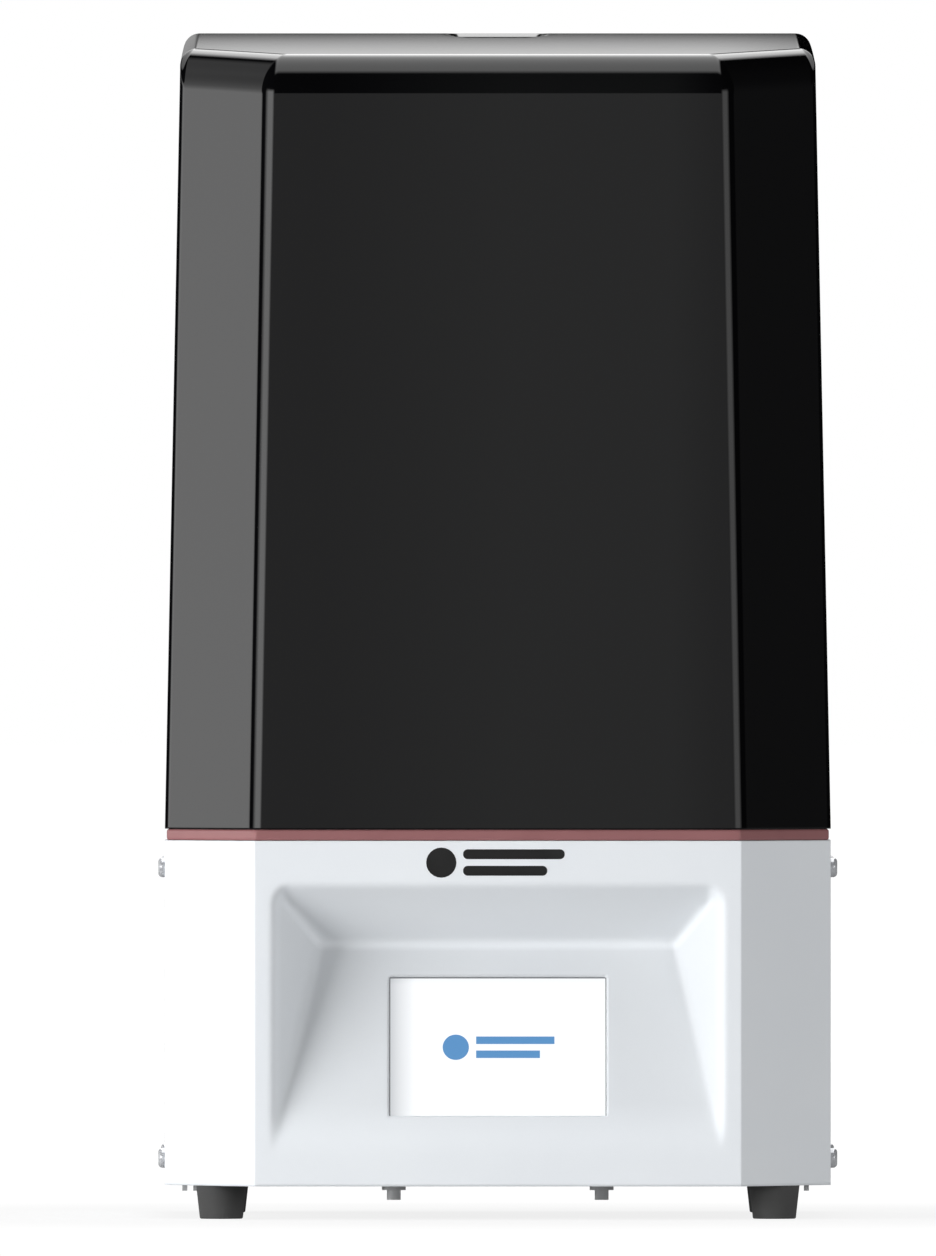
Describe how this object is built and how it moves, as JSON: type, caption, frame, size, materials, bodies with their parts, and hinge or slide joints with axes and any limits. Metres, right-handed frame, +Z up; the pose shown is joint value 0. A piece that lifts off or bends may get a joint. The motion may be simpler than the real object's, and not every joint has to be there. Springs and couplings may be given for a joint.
{
  "type": "resin 3d printer",
  "caption": "Desktop resin 3D printer: white base with a sloping touch display, resin vat and vertical drive under a lift-off smoked hood.",
  "frame": {"origin": "centre of the bounding box's plan, on the surface the feet stand on", "axes": "+Z up, -Y towards the front with the display, +X to the right seen from the front"},
  "size_m": [0.2348, 0.2276, 0.4117],
  "materials": {
    "white_coat": "satin powder coat",
    "dark_plate": "satin",
    "foot_rubber": "matte",
    "bright_screw": "polished",
    "black_screw": "black oxide",
    "deck_coat": "satin powder coat",
    "seal_red": "gloss",
    "hood_smoke": "gloss",
    "screen_glass": "polished",
    "black_tape": "matte",
    "lamp_wall": "satin",
    "circuit_board": "solder mask",
    "bare_aluminium": "bead-blasted",
    "column_aluminium": "brushed",
    "black_plastic": "matte",
    "ground_steel": "ground",
    "motor_black": "satin",
    "brass": "turned",
    "touch_glass": "polished",
    "clear_film": "clear",
    "black_aluminium": "anodised"
  },
  "bodies": {
    "base": {"back_panel": "white_coat", "back_screws": "bright_screw", "base_housing": "white_coat", "bearing_bracket": "column_aluminium", "board_parts": "black_plastic", "board_posts": "brass", "bottom_plate": "dark_plate", "display_board": "circuit_board", "display_module": "black_plastic", "fan_frame": "black_plastic", "fan_screws": "black_screw", "foot_front_left": "foot_rubber", "foot_front_right": "foot_rubber", "foot_rear_left": "foot_rubber", "foot_rear_right": "foot_rubber", "foot_screws": "bright_screw", "heat_sink": "bare_aluminium", "heat_sink_studs": "bright_screw", "hood_seal_ring": "seal_red", "lcd_gasket": "black_tape", "lcd_panel": "screen_glass", "led_board": "circuit_board", "light_shroud": "lamp_wall", "limit_sensor": "black_plastic", "linear_rail": "ground_steel", "main_board": "circuit_board", "power_inlet": "black_plastic", "rail_screws": "black_screw", "side_screws": "bright_screw", "stepper_motor": "motor_black", "switch_body": "black_plastic", "top_bearing": "ground_steel", "top_deck": "deck_coat", "touch_glass": "touch_glass", "usb_port": "ground_steel", "vat_rail_left": "black_aluminium", "vat_rail_right": "black_aluminium", "z_column": "column_aluminium"},
    "hood": {"hood_shell": "hood_smoke"},
    "z_carriage": {"rail_block": "ground_steel", "carriage_plate": "bare_aluminium", "carriage_screws": "black_screw", "platform_arm": "bare_aluminium", "lead_nut": "brass", "limit_flag": "black_plastic"},
    "lead_screw": {"lead_screw": "ground_steel", "motor_rotor": "ground_steel"},
    "platform_mount": {"mount_block": "bare_aluminium", "ball_stem": "ground_steel"},
    "build_platform": {"build_platform": "bare_aluminium", "ball_socket": "bare_aluminium", "level_screws": "black_screw"},
    "platform_knob": {"platform_knob": "black_plastic"},
    "vat": {"vat_frame": "bare_aluminium", "vat_film": "clear_film", "film_ring": "bare_aluminium"},
    "vat_screw_left": {"vat_screw_left": "black_plastic"},
    "vat_screw_right": {"vat_screw_right": "black_plastic"},
    "power_rocker": {"power_rocker": "black_plastic"},
    "cooling_fan": {"fan_rotor": "black_plastic"}
  },
  "joints": [
    {"name": "hood_lift", "type": "slide", "parent": "base", "child": "hood", "axis": [0, 0, 1], "range_m": [0, 0.3]},
    {"name": "z_travel", "type": "slide", "parent": "base", "child": "z_carriage", "axis": [0, 0, 1], "range_m": [-0.069, 0.085]},
    {"name": "lead_screw_spin", "type": "hinge", "parent": "base", "child": "lead_screw", "pos_m": [0.018, 0.068, 0.12], "axis": [0, 0, 1], "continuous": true},
    {"name": "platform_release", "type": "slide", "parent": "z_carriage", "child": "platform_mount", "axis": [0, -1, 0], "range_m": [0, 0.036]},
    {"name": "platform_tilt", "type": "hinge", "parent": "platform_mount", "child": "build_platform", "pos_m": [0, -0.022, 0.2217], "axis": [1, 0, 0], "range_deg": [-1.2, 1.2]},
    {"name": "platform_knob_turn", "type": "hinge", "parent": "platform_mount", "child": "platform_knob", "pos_m": [0, -0.022, 0.275], "axis": [0, 0, 1], "continuous": true},
    {"name": "vat_slide", "type": "slide", "parent": "base", "child": "vat", "axis": [0, -1, 0], "range_m": [0, 0.02]},
    {"name": "vat_screw_left_turn", "type": "hinge", "parent": "base", "child": "vat_screw_left", "pos_m": [-0.0965, -0.015, 0.148], "axis": [0, 0, 1], "continuous": true},
    {"name": "vat_screw_right_turn", "type": "hinge", "parent": "base", "child": "vat_screw_right", "pos_m": [0.0965, -0.015, 0.148], "axis": [0, 0, 1], "continuous": true},
    {"name": "power_switch", "type": "hinge", "parent": "base", "child": "power_rocker", "pos_m": [-0.054, 0.111, 0.042], "axis": [1, 0, 0], "range_deg": [0, 16]},
    {"name": "fan_spin", "type": "hinge", "parent": "base", "child": "cooling_fan", "pos_m": [0, -0.022, 0.022], "axis": [0, 0, 1], "continuous": true}
  ],
  "couplings": [
    {"joint": "lead_screw_spin", "follows": "z_travel", "rad_per_m": 785.4}
  ]
}
